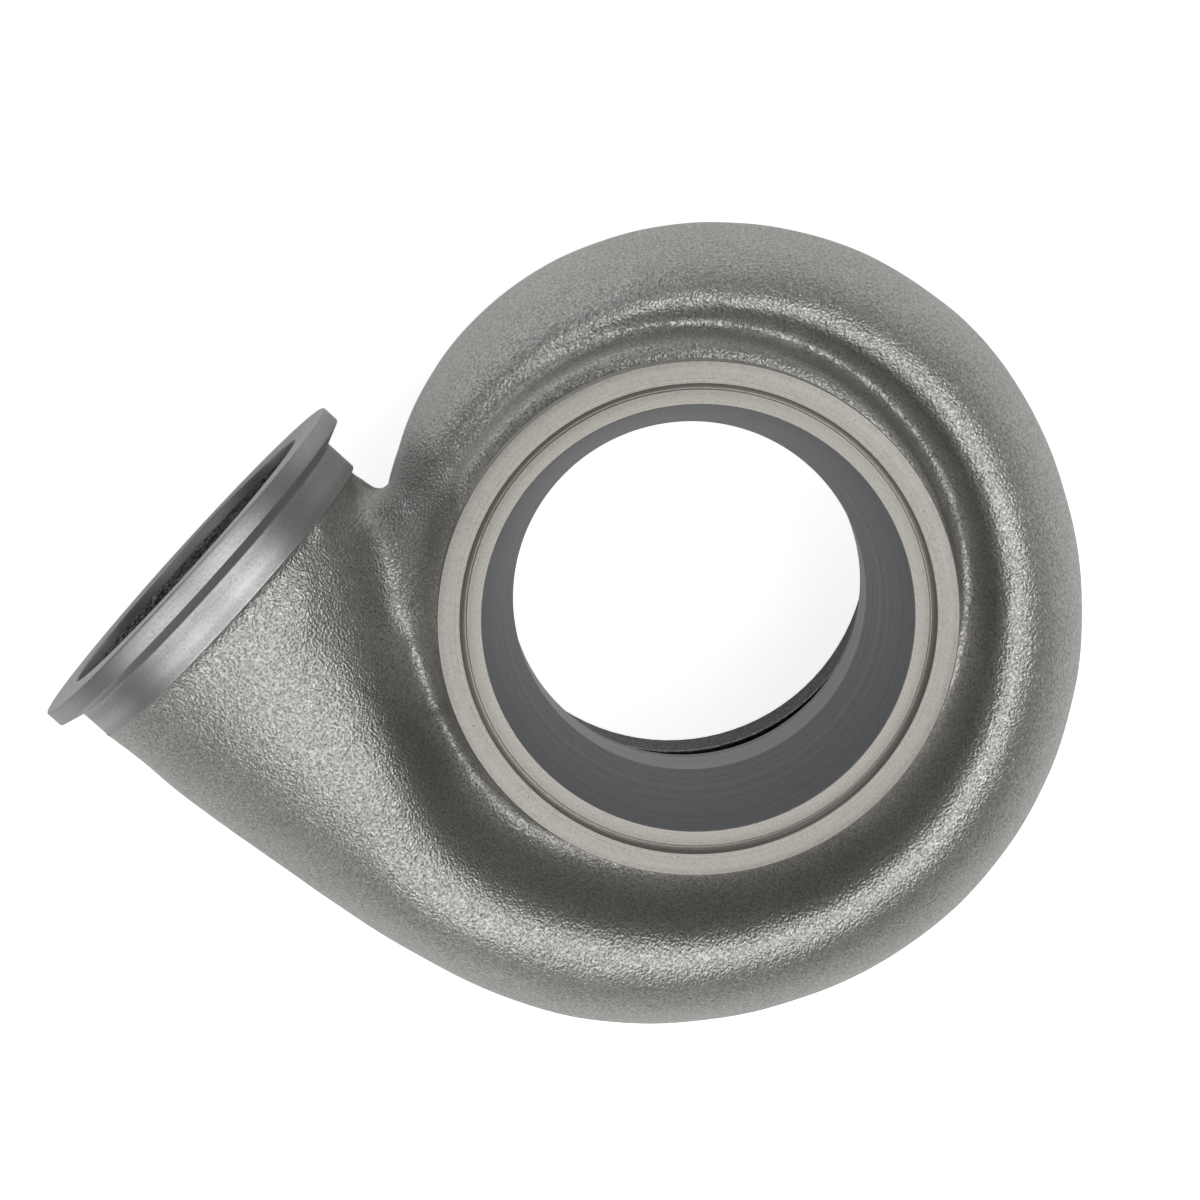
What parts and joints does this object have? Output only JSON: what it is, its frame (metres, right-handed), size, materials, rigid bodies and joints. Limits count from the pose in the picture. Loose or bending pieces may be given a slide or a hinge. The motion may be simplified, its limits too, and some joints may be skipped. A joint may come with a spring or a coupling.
{
  "type": "turbocharger turbine housing",
  "caption": "Cast turbine housing of a turbocharger: a hollow scroll around an open wheel bore, with a round inlet flange on a side duct and a larger round outlet flange.",
  "frame": {"origin": "on the wheel axis, in the plane of the machined face that the bearing housing is clamped to", "axes": "+Z along the wheel axis towards the exhaust outlet, +X the way the gas flows in the inlet duct, so the inlet opens towards -X and lies on the -Y side"},
  "size_m": [0.1501, 0.166, 0.078],
  "materials": {
    "cast_body": "rough cast, with turned faces at the flanges and in the bore"
  },
  "bodies": {
    "root": {"turbine_housing": "cast_body"}
  },
  "joints": []
}
